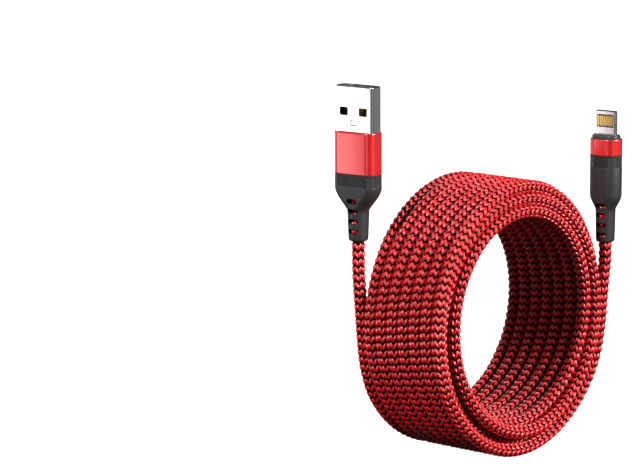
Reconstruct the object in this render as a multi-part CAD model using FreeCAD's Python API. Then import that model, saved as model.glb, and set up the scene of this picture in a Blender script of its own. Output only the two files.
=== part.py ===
import FreeCAD, Part
import math
import os

# Braided charging cable, wound into a coil that stands on its rim.
# Units are millimetres, +Z is up and the coil's axis lies along X.
# The origin is the bottom centre of the whole cable's box.

V = FreeCAD.Vector
UP = V(0, 0, 1)

# Cord and coil
cord_diameter = 3.7
side_gap = 0.14
wound_slimming = 0.5
layer_gap = 0.45
coil_bore_radius = 27.7
base_flat_depth = 0.5
pitches_across = 7
half_pitch = 0.5
reversal_swing = 0.35
inner_lean = 0.2
outer_lean = -0.36

# Where each plug stands
plug_turn = 6.0
usb_lead_rise = 23.6
phone_lead_rise = 16.2

# USB-A plug, outside
usb_body_corner = 2.3
usb_neck_radius = 2.65
usb_neck_root_radius = 2.95
usb_neck_length = 9.4
usb_shoulder_length = 4.6
usb_grip_length = 4.1
usb_slot_from_mouth = 2.0
usb_sleeve_length = 11.2
usb_sleeve_wall = 0.4
usb_room_corner = 1.5
usb_sleeve_lip = 0.3
usb_side_clearance = 0.1
usb_face_clearance = 0.5

# USB-A plug, steel shell
shell_width = 12.0
shell_thickness = 4.5
shell_wall = 0.3
shell_corner = 0.7
shell_exposed = 12.3
shell_hidden = 6.0
shell_seam = 0.12
shell_window_width = 2.6
shell_window_height = 2.25
shell_window_corner = 0.35
shell_window_spacing = 6.1
shell_window_from_mouth = 5.65
shell_stop_width = 2.1
shell_stop_height = 1.45
shell_stop_slit = 0.25
shell_stop_from_mouth = 9.1

# USB-A plug, tongue and contacts
mouth_depth = 11.4
tongue_thickness = 1.85
tongue_setback = 0.5
contact_width = 1.0
contact_thickness = 0.25
contact_proud = 0.08
contact_outer_spacing = 7.0
contact_inner_spacing = 2.0
contact_outer_length = 7.4
contact_inner_length = 6.4
contact_setback = 1.0
contact_stem_width = 0.8
contact_tail_length = 1.8

# 8-pin plug, outside
phone_side_clearance = 0.85
phone_face_clearance = 0.65
phone_side_flat = 0.1
phone_neck_radius = 2.6
phone_neck_root_radius = 2.8
phone_neck_length = 9.8
phone_shoulder_length = 3.4
phone_grip_length = 11.2
phone_slot_from_mouth = 1.45
phone_ring_length = 4.5
phone_ring_wall = 0.5
bezel_side_inset = 0.5
bezel_face_inset = 0.6
bezel_side_flat = 0.2
bezel_height = 1.1

# 8-pin plug, tongue
blade_thickness = 1.5
blade_side_flat = 0.06
blade_exposed = 6.65
blade_root = 5.0
blade_edge = 0.75
blade_tip_bevel = 0.2
blade_window_length = 3.6
blade_window_from_tip = 1.0
notch_radius = 0.45
notch_outset = 0.15
notch_from_bezel = 2.6
pad_count = 8
pad_width = 0.42
pad_pitch = 0.62
pad_length = 2.7
pad_depth = 0.3
pad_margin = 0.22

# 8-pin plug, inside
board_width = 5.4
board_thickness = 0.8
board_length = 8.5
board_overlap = 2.0
board_solder_pitch = 1.2
chip_from_board_end = 3.2
chip_width = 2.6
chip_length = 2.4
chip_height = 0.75
capacitor_count = 3
capacitor_width = 0.5
capacitor_length = 1.0
capacitor_height = 0.5
capacitor_pitch = 0.9
can_wall = 0.15
can_length = 3.4
can_height = 1.25
can_margin = 0.4

# Inside both plugs
slot_count = 4
slot_width = 2.6
slot_height = 1.3
slot_depth = 1.4
slot_pitch = 2.72
boot_foot_radius = 0.6
usb_mould_depth = 3.0
usb_boot_wall = 0.9
phone_boot_wall = 0.4
jacket_diameter = 2.6
usb_jacket_length = 3.0
phone_jacket_length = 2.2
crimp_wall = 0.3
crimp_length = 2.4
wire_colors = ("red", "white", "green", "black")
wire_diameter = 0.8
wire_circle_radius = 0.8
solder_length = 0.9
solder_width = 0.8
solder_height = 0.35
touch = 0.02
hair = 0.01

# Limits of the geometry code
same_way = 1e-9
parallel_share = 0.9
steps_per_turn = 4
points_per_arc = 12
turn_step = 0.05
shoulder_steps = 6

# Coil sizes that follow
turn_pitch = cord_diameter + side_gap
wound_diameter = cord_diameter - wound_slimming
layer_step = wound_diameter + layer_gap
inner_radius = coil_bore_radius + wound_diameter / 2
outer_radius = inner_radius + 2 * layer_step
centre_height = outer_radius + wound_diameter / 2 - base_flat_depth
coil_span = pitches_across * turn_pitch

# USB-A plug sizes that follow
shell_inner_width = shell_width - 2 * shell_wall
shell_inner_thickness = shell_thickness - 2 * shell_wall
shell_inner_corner = shell_corner - shell_wall
wall_cut_depth = 3 * shell_wall
usb_room_width = shell_width + 2 * usb_side_clearance
usb_room_thickness = shell_thickness + 2 * usb_face_clearance
usb_body_width = usb_room_width + 2 * usb_sleeve_wall
usb_body_thickness = usb_room_thickness + 2 * usb_sleeve_wall
usb_boot_height = usb_neck_length + usb_shoulder_length + usb_grip_length
usb_sleeve_top = usb_boot_height + usb_sleeve_length
usb_top = usb_sleeve_top + shell_exposed
usb_jacket_start = usb_boot_height - usb_mould_depth
usb_jacket_end = usb_jacket_start + usb_jacket_length
shell_bottom = usb_sleeve_top - shell_hidden
mouth_floor = usb_top - mouth_depth
tongue_back = shell_inner_thickness / 2
tongue_face = tongue_back - tongue_thickness
contact_face = tongue_face - contact_proud
contact_tail = shell_bottom - contact_tail_length

# 8-pin plug sizes that follow
board_face = board_thickness / 2
can_width = board_width + 2 * can_wall
can_depth = board_thickness + 2 * can_height
phone_side_wall = phone_side_clearance + phone_boot_wall + phone_ring_wall
phone_face_wall = phone_face_clearance + phone_boot_wall + phone_ring_wall
phone_body_width = can_width + 2 * phone_side_wall
phone_body_thickness = can_depth + 2 * phone_face_wall
phone_body_corner = (phone_body_thickness - phone_side_flat) / 2
phone_room_width = phone_body_width - 2 * phone_ring_wall
phone_room_thickness = phone_body_thickness - 2 * phone_ring_wall
phone_room_corner = phone_body_corner - phone_ring_wall
phone_boot_height = phone_neck_length + phone_shoulder_length + phone_grip_length
phone_ring_top = phone_boot_height + phone_ring_length
phone_jacket_start = phone_neck_length + phone_shoulder_length
phone_jacket_end = phone_jacket_start + phone_jacket_length
bezel_width = phone_body_width - 2 * bezel_side_inset
bezel_thickness = phone_body_thickness - 2 * bezel_face_inset
bezel_corner = (bezel_thickness - bezel_side_flat) / 2
bezel_top = phone_ring_top + bezel_height
phone_top = bezel_top + blade_exposed
blade_window_width = (pad_count - 1) * pad_pitch + pad_width + 2 * pad_margin
blade_width = blade_window_width + 2 * blade_edge
blade_corner = (blade_thickness - blade_side_flat) / 2
blade_bottom = bezel_top - blade_root
blade_window_bottom = phone_top - blade_window_from_tip - blade_window_length
board_bottom = blade_bottom + board_overlap - board_length
chip_bottom = board_bottom + chip_from_board_end
can_bottom = chip_bottom - can_margin


def turned_reach(width, thickness, corner):
    """Half the extent along X of a rounded block that is turned about Z."""
    turn = math.radians(plug_turn)
    along = (width / 2 - corner) * math.cos(turn)
    across = (thickness / 2 - corner) * math.sin(turn)
    return along + across + corner


# Where the two plugs' cords leave their boots, with the whole cable centred on X
end_across = pitches_across + half_pitch + outer_lean
usb_side = -turned_reach(usb_body_width, usb_body_thickness, usb_body_corner)
phone_side = end_across * turn_pitch + turned_reach(phone_body_width, phone_body_thickness, phone_body_corner)
far_face = -(usb_side + phone_side) / 2
usb_foot = V(far_face, -outer_radius, centre_height + usb_lead_rise)
phone_foot = V(far_face + end_across * turn_pitch, outer_radius, centre_height + phone_lead_rise)

# The winding, by turns counted from the USB end. Across is counted in pitches from the far
# face and changes steadily. A layer, 0 inside and 2 outside, changes within a half turn.
across_at_turn = [
    (0.0, 0.0),
    (0.25, 0.0),
    (0.5, -0.35),
    (0.75, -0.45),
    (1.0, -0.15),
    (8.0, pitches_across),
    (8.25, pitches_across + reversal_swing),
    (8.5, pitches_across),
    (14.25, half_pitch + reversal_swing),
    (14.5, half_pitch),
    (14.75, 0.75),
    (21.5, pitches_across + half_pitch),
]
layer_at_turn = [(0.0, 2), (0.5, 2), (1.0, 0), (8.0, 0), (8.5, 1), (14.25, 1), (14.75, 2), (21.5, 2)]
total_turns = layer_at_turn[-1][0]
inner_turns = (1.0, 8.0)
outer_turns = (15.0, total_turns)


def box(size_x, size_y, size_z, x=0, y=0, z=0):
    """A block centred on x and y that stands on z."""
    return Part.makeBox(size_x, size_y, size_z, V(x - size_x / 2, y - size_y / 2, z))


def cylinder(radius, height, z=0):
    return Part.makeCylinder(radius, height, V(0, 0, z))


def spread(count, pitch):
    """Places at a steady pitch on both sides of zero."""
    return [(number - (count - 1) / 2) * pitch for number in range(count)]


def edges_along_y(block):
    ways = [(edge, edge.tangentAt(edge.FirstParameter).y) for edge in block.Edges]
    return [edge for edge, way in ways if abs(way) > parallel_share]


def rounded_wire(width, thickness, corner, z):
    """A rectangle with four round corners, centred on the Z axis."""
    hx = width / 2 - corner
    hy = thickness / 2 - corner
    slant = corner * math.sqrt(0.5)
    edges = []
    for sx, sy in ((1, 1), (-1, 1), (-1, -1), (1, -1)):
        centre = V(sx * hx, sy * hy, z)
        side = centre + V(sx * corner, 0, 0)
        end = centre + V(0, sy * corner, 0)
        middle = centre + V(sx * slant, sy * slant, 0)
        first, last = (side, end) if sx * sy > 0 else (end, side)
        if edges:
            edges.append(Part.makeLine(edges[-1].lastVertex().Point, first))
        edges.append(Part.Arc(first, middle, last).toShape())
    edges.append(Part.makeLine(edges[-1].lastVertex().Point, edges[0].firstVertex().Point))
    return Part.Wire(edges)


def rounded_block(width, thickness, corner, z, height):
    return Part.Face(rounded_wire(width, thickness, corner, z)).extrude(V(0, 0, height))


def biarc(start, start_way, end, end_way):
    """Two tangent arcs from one point and direction to the next."""
    chord = end - start
    ways = start_way + end_way
    lean = chord.dot(ways)
    spread_of_ways = 2 * (1 - start_way.dot(end_way))
    if spread_of_ways < same_way:
        reach = chord.dot(chord) / (2 * lean)
    else:
        reach = (-lean + math.sqrt(lean * lean + spread_of_ways * chord.dot(chord))) / spread_of_ways
    joint = (start + end + (start_way - end_way) * reach) * 0.5
    return [arc_through(start, start_way, joint, reach), arc_through(end, -end_way, joint, reach)]


def arc_through(start, way, joint, reach):
    weight = (joint - start).Length / (2 * reach)
    corner = start + way * reach
    middle = (start + corner * (2 * weight) + joint) * (0.5 / (1 + weight))
    return Part.Arc(start, middle, joint).toShape()


def swept_tube(edges, start, diameter):
    """A round tube along joined edges that leave their start straight up or down."""
    section = Part.Wire([Part.Circle(start, UP, diameter / 2).toShape()])
    sweep = Part.BRepOffsetAPI.MakePipeShell(Part.Wire(edges))
    sweep.add(section)
    sweep.build()
    sweep.makeSolid()
    return sweep.shape()


def placed(shape, foot):
    """A plug's piece, turned towards the front and set on its cord."""
    shape = shape.copy()
    shape.Placement = FreeCAD.Placement(foot, FreeCAD.Rotation(UP, plug_turn))
    return shape


# Coil


def ease(share):
    return share * share * (3 - 2 * share)


def steady(share):
    return share


def between(table, turn, pace):
    """The winding's value at a turn, from one entry of a table to the next."""
    for low, high in zip(table, table[1:]):
        if turn <= high[0]:
            share = (turn - low[0]) / (high[0] - low[0])
            return low[1] + pace(share) * (high[1] - low[1])
    return table[-1][1]


def lean_at(turn):
    """How far a layer's turns lean over on the side away from the USB end, in pitches."""
    side = (1 - math.cos(2 * math.pi * turn)) / 2
    for lean, (first, last) in ((inner_lean, inner_turns), (outer_lean, outer_turns)):
        if first < turn <= last:
            return lean * side * (turn - first) / (last - first)
    return 0


def coil_point(turn):
    across = between(across_at_turn, turn, steady) + lean_at(turn)
    radius = inner_radius + between(layer_at_turn, turn, ease) * layer_step
    angle = 2 * math.pi * turn
    return V(
        far_face + across * turn_pitch,
        -radius * math.cos(angle),
        centre_height - radius * math.sin(angle),
    )


def coil_way(turn):
    """The cord's direction, which is straight down and straight up at its two ends."""
    if turn == 0:
        return V(0, 0, -1)
    if turn == total_turns:
        return V(0, 0, 1)
    ahead = coil_point(turn + turn_step)
    behind = coil_point(turn - turn_step)
    return (ahead - behind).normalize()


def coil_edges():
    """The cord's centre line: a straight end, a biarc for each quarter turn, a straight end."""
    tail = V(0, 0, wound_diameter)
    start = coil_point(0)
    end = coil_point(total_turns)
    edges = [Part.makeLine(start + tail, start)]
    for step in range(int(total_turns * steps_per_turn)):
        low = step / steps_per_turn
        high = (step + 1) / steps_per_turn
        edges += biarc(coil_point(low), coil_way(low), coil_point(high), coil_way(high))
    edges.append(Part.makeLine(end, end + tail))
    return edges


def least_self_gap(edges):
    """The least clear distance between turns, measured on points along the centre line."""
    points = []
    for edge in edges[1:-1]:
        line = edge.discretize(points_per_arc + 1)
        if points and (line[0] - points[-1]).Length > (line[-1] - points[-1]).Length:
            line.reverse()
        points += line[:-1]
    per_turn = points_per_arc * 2 * steps_per_turn
    least = coil_span
    for index, point in enumerate(points):
        for passed in range(1, int(total_turns) + 1):
            middle = index + passed * per_turn
            for other in points[middle - points_per_arc:middle + points_per_arc + 1]:
                least = min(least, (other - point).Length)
    return least - wound_diameter


def make_coil():
    """The wound cord, cut flat where it stands."""
    edges = coil_edges()
    tube = swept_tube(edges, edges[0].firstVertex().Point, wound_diameter)
    line_length = sum(edge.Length for edge in edges)
    straight_volume = line_length * math.pi * wound_diameter ** 2 / 4
    radii = [edge.Curve.Radius for edge in edges[1:-1]]
    print(f"coil: {line_length:.0f} mm of cord in {total_turns} turns")
    print(f"coil: tube volume over section times length {tube.Volume / straight_volume:.4f}")
    print(f"coil: radii {min(radii):.1f} to {max(radii):.1f} mm")
    print(f"coil: least gap to itself {least_self_gap(edges):.2f} mm")
    reach = 2 * outer_radius
    below = Part.makeBox(2 * reach, 2 * reach, reach, V(-reach, -reach, -reach))
    return tube.cut(below)


def end_cord(foot, depth):
    """The straight stretch from the coil's end up into the boot."""
    start = centre_height + wound_diameter
    height = foot.z + depth - start
    print(f"end cord: {height:.1f} mm, straight")
    return Part.makeCylinder(cord_diameter / 2, height, V(foot.x, foot.y, start))


# What both plugs have


def boot_body(width, thickness, corner, neck, root, neck_length, shoulder, grip):
    """Round neck, swept shoulder and straight grip, in one moulding."""
    neck_body = Part.makeCone(neck, root, neck_length)
    foot_edge = [edge for edge in neck_body.Edges if abs(edge.BoundBox.ZMax) < hair]
    neck_body = neck_body.makeFillet(boot_foot_radius, foot_edge)
    sections = []
    for step in range(shoulder_steps + 1):
        share = step / shoulder_steps
        grown = ease(share)
        span = 2 * root + (width - 2 * root) * grown
        depth = 2 * root + (thickness - 2 * root) * grown
        bend = root + (corner - root) * grown - hair
        sections.append(rounded_wire(span, depth, bend, neck_length + share * shoulder))
    shoulder_body = Part.makeLoft(sections, True, True)
    grip_body = rounded_block(width, thickness, corner - hair, neck_length + shoulder, grip)
    return neck_body.fuse([shoulder_body, grip_body]).removeSplitter()


def slot_cutters(from_mouth):
    """Strain relief slots, one row in front and one behind, cut down to the cord."""
    cutters = []
    for number in range(slot_count):
        z = from_mouth + number * slot_pitch
        for side in (-1, 1):
            middle = side * (cord_diameter / 2 + slot_depth)
            block = box(slot_width, 2 * slot_depth, slot_height, 0, middle, z)
            cutters.append(block.makeFillet(slot_height / 2 - touch, edges_along_y(block)))
    return cutters


def make_boot(body, bore_depth, pocket, slot_from_mouth):
    """The boot's body, bored for the cord, slotted and pocketed for the inner mould."""
    bore = cylinder(cord_diameter / 2, bore_depth)
    return body.cut([bore, pocket] + slot_cutters(slot_from_mouth))


def bent_wires(bottom, ends):
    """Coloured wires that rise from a circle on the jacket's end and reach their ends upwards."""
    wires = {}
    for color, (x, y), end in zip(wire_colors, ((-1, 0), (0, -1), (0, 1), (1, 0)), ends):
        start = V(x * wire_circle_radius, y * wire_circle_radius, bottom)
        wires[color] = swept_tube(biarc(start, UP, end, UP), start, wire_diameter)
    return wires


def solder_beads(places, face, bottom):
    """One bead on each wire's end, on a face that looks towards -Y."""
    y = face - solder_height
    return [box(solder_width, 2 * solder_height, solder_length, x, y, bottom) for x in places]


# USB-A plug


def make_usb_shell():
    """Folded steel tube with two windows and a pressed stop on each wide face."""
    height = usb_top - shell_bottom
    shell = rounded_block(shell_width, shell_thickness, shell_corner, shell_bottom, height)
    inside = rounded_block(shell_inner_width, shell_inner_thickness, shell_inner_corner, shell_bottom, height)
    window_z = usb_top - shell_window_from_mouth - shell_window_height
    cutters = [inside]
    for x in spread(2, shell_window_spacing):
        window = box(shell_window_width, 2 * shell_thickness, shell_window_height, x, 0, window_z)
        cutters.append(window.makeFillet(shell_window_corner, edges_along_y(window)))
    face = shell_thickness / 2
    stop_z = usb_top - shell_stop_from_mouth - shell_stop_height
    stop = box(shell_stop_width, wall_cut_depth, shell_stop_height, 0, -face, stop_z)
    tab_width = shell_stop_width - shell_stop_slit
    tab_height = shell_stop_height - 2 * shell_stop_slit
    tab = box(tab_width, wall_cut_depth, tab_height, shell_stop_slit, -face, stop_z + shell_stop_slit)
    cutters.append(stop.cut(tab))
    cutters.append(box(shell_seam, wall_cut_depth, height, 0, face, shell_bottom))
    return shell.cut(cutters)


def contact_places():
    half_outer = contact_outer_spacing / 2
    half_inner = contact_inner_spacing / 2
    return {
        "power": (-half_outer, contact_outer_length),
        "data_minus": (-half_inner, contact_inner_length),
        "data_plus": (half_inner, contact_inner_length),
        "ground": (half_outer, contact_outer_length),
    }


def make_usb_contact(x, length):
    """A flat strip let into the tongue, which runs down to its solder tail."""
    root = usb_top - tongue_setback - contact_setback - length
    y = contact_face + contact_thickness / 2
    blade = box(contact_width, contact_thickness, length, x, y, root)
    stem = box(contact_stem_width, contact_thickness, root - contact_tail, x, y, contact_tail)
    return blade.fuse(stem).removeSplitter()


def make_usb_carrier(contacts):
    """The block that fills the shell's lower part and the tongue that stands on it."""
    block_height = mouth_floor - shell_bottom
    block = rounded_block(
        shell_inner_width, shell_inner_thickness, shell_inner_corner, shell_bottom, block_height
    )
    width = shell_inner_width - 2 * shell_inner_corner
    height = usb_top - tongue_setback - mouth_floor
    tongue = box(width, tongue_thickness, height, 0, tongue_back - tongue_thickness / 2, mouth_floor)
    return block.fuse(tongue).removeSplitter().cut(contacts)


def make_usb_crimp():
    bottom = usb_jacket_end - crimp_length
    collar = cylinder(jacket_diameter / 2 + crimp_wall, crimp_length, bottom)
    return collar.cut(cylinder(jacket_diameter / 2, crimp_length, bottom))


def make_usb_sleeve():
    size = (usb_boot_height, usb_sleeve_length)
    sleeve = rounded_block(usb_body_width, usb_body_thickness, usb_body_corner, *size)
    return sleeve.cut(rounded_block(usb_room_width, usb_room_thickness, usb_room_corner, *size))


def usb_pocket():
    """The room in the boot that the inner mould fills."""
    width = usb_room_width - 2 * usb_boot_wall
    thickness = usb_room_thickness - 2 * usb_boot_wall
    return rounded_block(width, thickness, usb_room_corner, usb_jacket_start, usb_mould_depth)


def make_usb_mould(sealed):
    """The mould that holds the shell, the wires and the crimp inside sleeve and boot."""
    height = usb_sleeve_length - usb_sleeve_lip
    room = rounded_block(usb_room_width, usb_room_thickness, usb_room_corner, usb_boot_height, height)
    shell_space = rounded_block(shell_width, shell_thickness, shell_corner, shell_bottom, shell_exposed)
    return room.fuse(usb_pocket()).removeSplitter().cut([shell_space] + sealed)


def make_usb():
    """All pieces of the USB-A plug, by name, standing on the mouth of its boot."""
    contacts = {name: make_usb_contact(*place) for name, place in contact_places().items()}
    places = [x for x, length in contact_places().values()]
    wire_y = contact_face - wire_diameter / 2 - touch
    wires = bent_wires(usb_jacket_end, [V(x, wire_y, contact_tail) for x in places])
    solder = solder_beads(places, contact_face, contact_tail)
    jacket = cylinder(jacket_diameter / 2, usb_jacket_length, usb_jacket_start)
    crimp = make_usb_crimp()
    body = boot_body(
        usb_body_width,
        usb_body_thickness,
        usb_body_corner,
        usb_neck_radius,
        usb_neck_root_radius,
        usb_neck_length,
        usb_shoulder_length,
        usb_grip_length,
    )
    parts = {
        "usb_shell": make_usb_shell(),
        "usb_contact_carrier": make_usb_carrier(list(contacts.values())),
        "usb_solder_joints": Part.makeCompound(solder),
        "usb_stripped_jacket": jacket,
        "usb_crimp_collar": crimp,
        "usb_sleeve": make_usb_sleeve(),
        "usb_inner_mould": make_usb_mould(
            [crimp, jacket] + list(wires.values()) + list(contacts.values()) + solder
        ),
        "usb_boot": make_boot(body, usb_jacket_start, usb_pocket(), usb_slot_from_mouth),
    }
    parts.update({"usb_contact_" + name: contact for name, contact in contacts.items()})
    parts.update({"usb_wire_" + color: wire for color, wire in wires.items()})
    return parts


# 8-pin plug


def make_blade_frame(board):
    """The metal frame of the tongue, with its window and its two side notches."""
    blade = rounded_block(blade_width, blade_thickness, blade_corner, blade_bottom, phone_top - blade_bottom)
    rim = [edge for edge in blade.Edges if edge.BoundBox.ZMin > phone_top - hair]
    long_edges = [edge for edge in rim if edge.BoundBox.XLength > blade_thickness]
    blade = blade.makeChamfer(blade_tip_bevel, long_edges)
    notches = []
    for x in spread(2, blade_width + 2 * notch_outset):
        spot = V(x, -blade_thickness, bezel_top + notch_from_bezel)
        notches.append(Part.makeCylinder(notch_radius, 2 * blade_thickness, spot, V(0, 1, 0)))
    window = box(blade_window_width, 2 * blade_thickness, blade_window_length, 0, 0, blade_window_bottom)
    return blade.cut(notches).cut([window, board])


def make_pads(side):
    """The row of contacts on one face of the tongue."""
    y = side * (blade_thickness / 2 - pad_depth / 2 + touch)
    bottom = blade_window_bottom + (blade_window_length - pad_length) / 2
    return [box(pad_width, pad_depth, pad_length, x, y, bottom) for x in spread(pad_count, pad_pitch)]


def make_insulator(pads):
    plate = box(blade_window_width, blade_thickness, blade_window_length, 0, 0, blade_window_bottom)
    return plate.cut(pads)


def make_capacitors():
    size = (capacitor_width, capacitor_height, capacitor_length)
    y = board_face + capacitor_height / 2
    places = spread(capacitor_count, capacitor_pitch)
    return Part.makeCompound([box(*size, x, y, chip_bottom) for x in places])


def make_can():
    can = box(can_width, can_depth, can_length, 0, 0, can_bottom)
    return can.cut(box(board_width, can_depth - 2 * can_wall, can_length, 0, 0, can_bottom))


def make_phone_ring():
    size = (phone_boot_height, phone_ring_length)
    ring = rounded_block(phone_body_width, phone_body_thickness, phone_body_corner, *size)
    return ring.cut(rounded_block(phone_room_width, phone_room_thickness, phone_room_corner, *size))


def phone_pocket():
    """The room in the boot that the inner mould fills."""
    width = phone_room_width - 2 * phone_boot_wall
    thickness = phone_room_thickness - 2 * phone_boot_wall
    corner = phone_room_corner - phone_boot_wall
    return rounded_block(width, thickness, corner, phone_jacket_start, phone_grip_length)


def blade_space():
    return rounded_block(blade_width, blade_thickness, blade_corner, blade_bottom, blade_root)


def make_phone_mould(sealed):
    """The mould that holds the tongue, the board and the wires inside ring and boot."""
    size = (phone_room_width, phone_room_thickness, phone_room_corner)
    room = rounded_block(*size, phone_boot_height, phone_ring_length)
    can_space = box(can_width, can_depth, can_length, 0, 0, can_bottom)
    return room.fuse(phone_pocket()).removeSplitter().cut([can_space, blade_space()] + sealed)


def make_bezel():
    bezel = rounded_block(bezel_width, bezel_thickness, bezel_corner, phone_ring_top, bezel_height)
    return bezel.cut(blade_space())


def make_phone():
    """All pieces of the 8-pin plug, by name, standing on the mouth of its boot."""
    front, back = make_pads(-1), make_pads(1)
    board = box(board_width, board_thickness, board_length, 0, 0, board_bottom)
    places = spread(len(wire_colors), board_solder_pitch)
    wire_y = -board_face - wire_diameter / 2
    wires = bent_wires(phone_jacket_end, [V(x, wire_y, board_bottom) for x in places])
    chip_y = -board_face - chip_height / 2
    solder = solder_beads(places, -board_face, board_bottom)
    jacket = cylinder(jacket_diameter / 2, phone_jacket_length, phone_jacket_start)
    body = boot_body(
        phone_body_width,
        phone_body_thickness,
        phone_body_corner,
        phone_neck_radius,
        phone_neck_root_radius,
        phone_neck_length,
        phone_shoulder_length,
        phone_grip_length,
    )
    parts = {
        "phone_contacts_front": Part.makeCompound(front),
        "phone_contacts_back": Part.makeCompound(back),
        "phone_blade_insulator": make_insulator(front + back),
        "phone_blade_frame": make_blade_frame(board),
        "phone_circuit_board": board,
        "phone_chip": box(chip_width, chip_height, chip_length, 0, chip_y, chip_bottom),
        "phone_capacitors": make_capacitors(),
        "phone_shield_can": make_can(),
        "phone_solder_joints": Part.makeCompound(solder),
        "phone_stripped_jacket": jacket,
        "phone_ring": make_phone_ring(),
        "phone_inner_mould": make_phone_mould([board, jacket] + list(wires.values()) + solder),
        "phone_front_bezel": make_bezel(),
        "phone_boot": make_boot(body, phone_jacket_start, phone_pocket(), phone_slot_from_mouth),
    }
    parts.update({"phone_wire_" + color: wire for color, wire in wires.items()})
    return parts


nodes = {}
for name, shape in make_usb().items():
    nodes[name] = placed(shape, usb_foot)
for name, shape in make_phone().items():
    nodes[name] = placed(shape, phone_foot)
nodes["usb_end_cord"] = end_cord(usb_foot, usb_jacket_start)
nodes["phone_end_cord"] = end_cord(phone_foot, phone_jacket_start)
nodes["cord_coil"] = make_coil()

os.makedirs("parts", exist_ok=True)
for name, shape in nodes.items():
    solids = shape.Solids
    if not shape.isValid() or not solids:
        print("not sound:", name)
    shape.exportStep("parts/" + name + ".step")
    print(f"{name}: {len(solids)} solid(s), {sum(solid.Volume for solid in solids):.2f} mm3")
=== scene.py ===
import math

import bpy
import numpy as np
from mathutils import Matrix, Vector


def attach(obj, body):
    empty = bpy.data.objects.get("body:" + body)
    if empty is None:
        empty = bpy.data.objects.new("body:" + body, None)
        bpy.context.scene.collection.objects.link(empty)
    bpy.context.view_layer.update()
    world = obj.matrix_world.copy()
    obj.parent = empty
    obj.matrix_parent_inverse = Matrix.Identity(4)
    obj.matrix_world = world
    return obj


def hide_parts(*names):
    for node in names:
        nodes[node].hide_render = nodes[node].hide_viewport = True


# The look of a braided charging cable: a three-layer coil with a flat rectangular plug and
# a thin tongue plug standing on its two ends. Lengths are in metres and named angles in
# degrees, where no comment says otherwise.

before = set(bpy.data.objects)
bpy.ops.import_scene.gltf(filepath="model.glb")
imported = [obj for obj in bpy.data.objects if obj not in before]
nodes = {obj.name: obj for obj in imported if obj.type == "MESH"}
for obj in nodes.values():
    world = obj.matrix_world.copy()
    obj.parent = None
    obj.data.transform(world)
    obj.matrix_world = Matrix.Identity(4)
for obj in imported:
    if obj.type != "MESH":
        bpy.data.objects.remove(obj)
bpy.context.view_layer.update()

MM = 0.001

# Cord and winding, as in the part's source; the shown turns lie a little closer together
CORD_RADIUS = 1.85 * MM
TURN_PITCH = 3.84 * MM
LAYER_STEP = 3.25 * MM
CENTRE_HEIGHT = 37.7 * MM
OUTER_RADIUS = CENTRE_HEIGHT - CORD_RADIUS
INNER_RADIUS = OUTER_RADIUS - 2 * LAYER_STEP
FAR_FACE = -12.72 * MM
SWING = 0.35
INNER_LEAN = 0.2
OUTER_LEAN = -0.36
ACROSS_AT_TURN = [
    (0.0, 0.0),
    (0.25, 0.0),
    (0.5, -0.35),
    (0.75, -0.45),
    (1.0, -0.15),
    (8.0, 7.0),
    (8.25, 7.0 + SWING),
    (8.5, 7.0),
    (14.25, 0.5 + SWING),
    (14.5, 0.5),
    (14.75, 0.75),
    (21.5, 7.5),
]
LAYER_AT_TURN = [(0.0, 2), (0.5, 2), (1.0, 0), (8.0, 0), (8.5, 1), (14.25, 1), (14.75, 2), (21.5, 2)]
INNER_START, INNER_END = 1.0, 8.0
OUTER_START, OUTER_END = 15.0, 21.5
POINTS_PER_TURN = 16
STRAIGHT_BELOW_USB = 8.0 * MM
STRAIGHT_BELOW_PHONE = 6.0 * MM
STRAIGHT_ABOVE_COIL = 7.0 * MM
SHORTEST_STEP = 1e-7

# Plugs: each is placed by the mouth of its boot and turned towards the front
PLUG_TURN = 6.0
USB_FOOT = Vector((-12.7245, -36.6, 61.3)) * MM
PHONE_FOOT = Vector((14.6931, 36.6, 53.9)) * MM
CORD_INTO_USB = 13.0 * MM
CORD_INTO_PHONE = 12.0 * MM

# Boots, in millimetres: body, neck, heights, knurled band and slots
USB_BOOT = {
    "width": 13.0,
    "thickness": 6.3,
    "corner": 2.3,
    "neck": 2.65,
    "root": 2.95,
    "neck_length": 8.3,
    "shoulder": 6.2,
    "height": 18.1,
    "knurl": (14.7, 17.6),
    "diamonds": 46,
    "bore_depth": 12.6,
    "slot_start": 2.0,
}
PHONE_BOOT = {
    "width": 9.2,
    "thickness": 6.4,
    "corner": 3.15,
    "neck": 2.6,
    "root": 2.8,
    "neck_length": 9.2,
    "shoulder": 4.2,
    "height": 24.4,
    "knurl": (20.9, 24.0),
    "diamonds": 34,
    "bore_depth": 12.6,
    "slot_start": 1.45,
}
BORE_RADIUS = 2.0
BORE_CHAMFER = 0.1
BORE_CHAMFER_HEIGHT = 0.15
MOUTH_ROUNDING = 0.6
NECK_RINGS = 10
SHOULDER_RINGS = 19
SHOULDER_FULLNESS = 2.2
TOP_CHAMFER = 0.1
TOP_RIM = 1.0
SLOT_COUNT = 4
SLOT_SIZE = (3.3, 1.4)
SLOT_SHIFT = -0.1
SLOT_PITCH = 2.72
SLOT_CUT = (0.6, 6.0)

# Knurl, in millimetres; painted shade: the net's colour fades to the pits' painted shade from 0 to 1, and
# plain skin lies between, so the net is a painted highlight
KNURL_DEPTH = 0.2
KNURL_HEIGHT = 0.78
KNURL_STEEPNESS = 2.6
KNURL_NET = 0.38
KNURL_FADE = 0.15
NET_FADE = 0.3
PLAIN_SKIN = 0.58
STEPS_PER_DIAMOND = 8

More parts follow.
